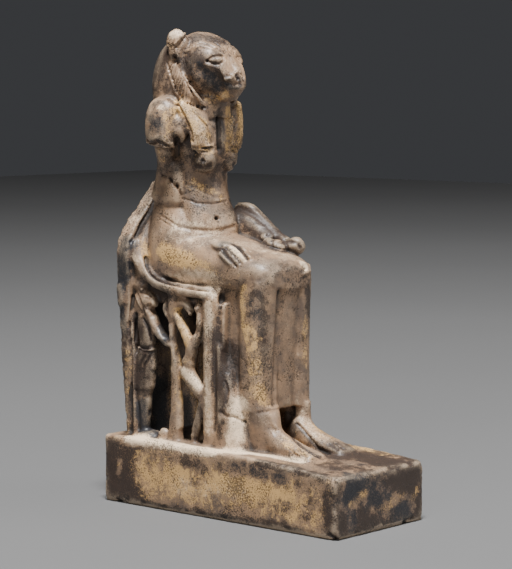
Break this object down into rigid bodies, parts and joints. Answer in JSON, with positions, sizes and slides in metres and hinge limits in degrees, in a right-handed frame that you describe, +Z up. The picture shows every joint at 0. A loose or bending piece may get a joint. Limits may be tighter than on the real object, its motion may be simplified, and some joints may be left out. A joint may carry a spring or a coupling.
{
  "type": "seated goddess statuette",
  "caption": "Glazed ceramic statuette of a seated lion-headed goddess with broken arms, on an openwork throne and a rectangular plinth, for display.",
  "frame": {"origin": "middle of the plinth's underside, which is the bottom centre of the whole part", "axes": "+Z up, the figure faces -Y, its own right side is at -X"},
  "size_m": [0.0342, 0.0776, 0.1208],
  "materials": {
    "glazed_faience": "discoloured faience glaze, ochre and grey-mauve with blue-black patches, finely pitted, with a soft worn gloss"
  },
  "bodies": {
    "root": {"sekhmet_statuette": "glazed_faience"}
  },
  "joints": []
}
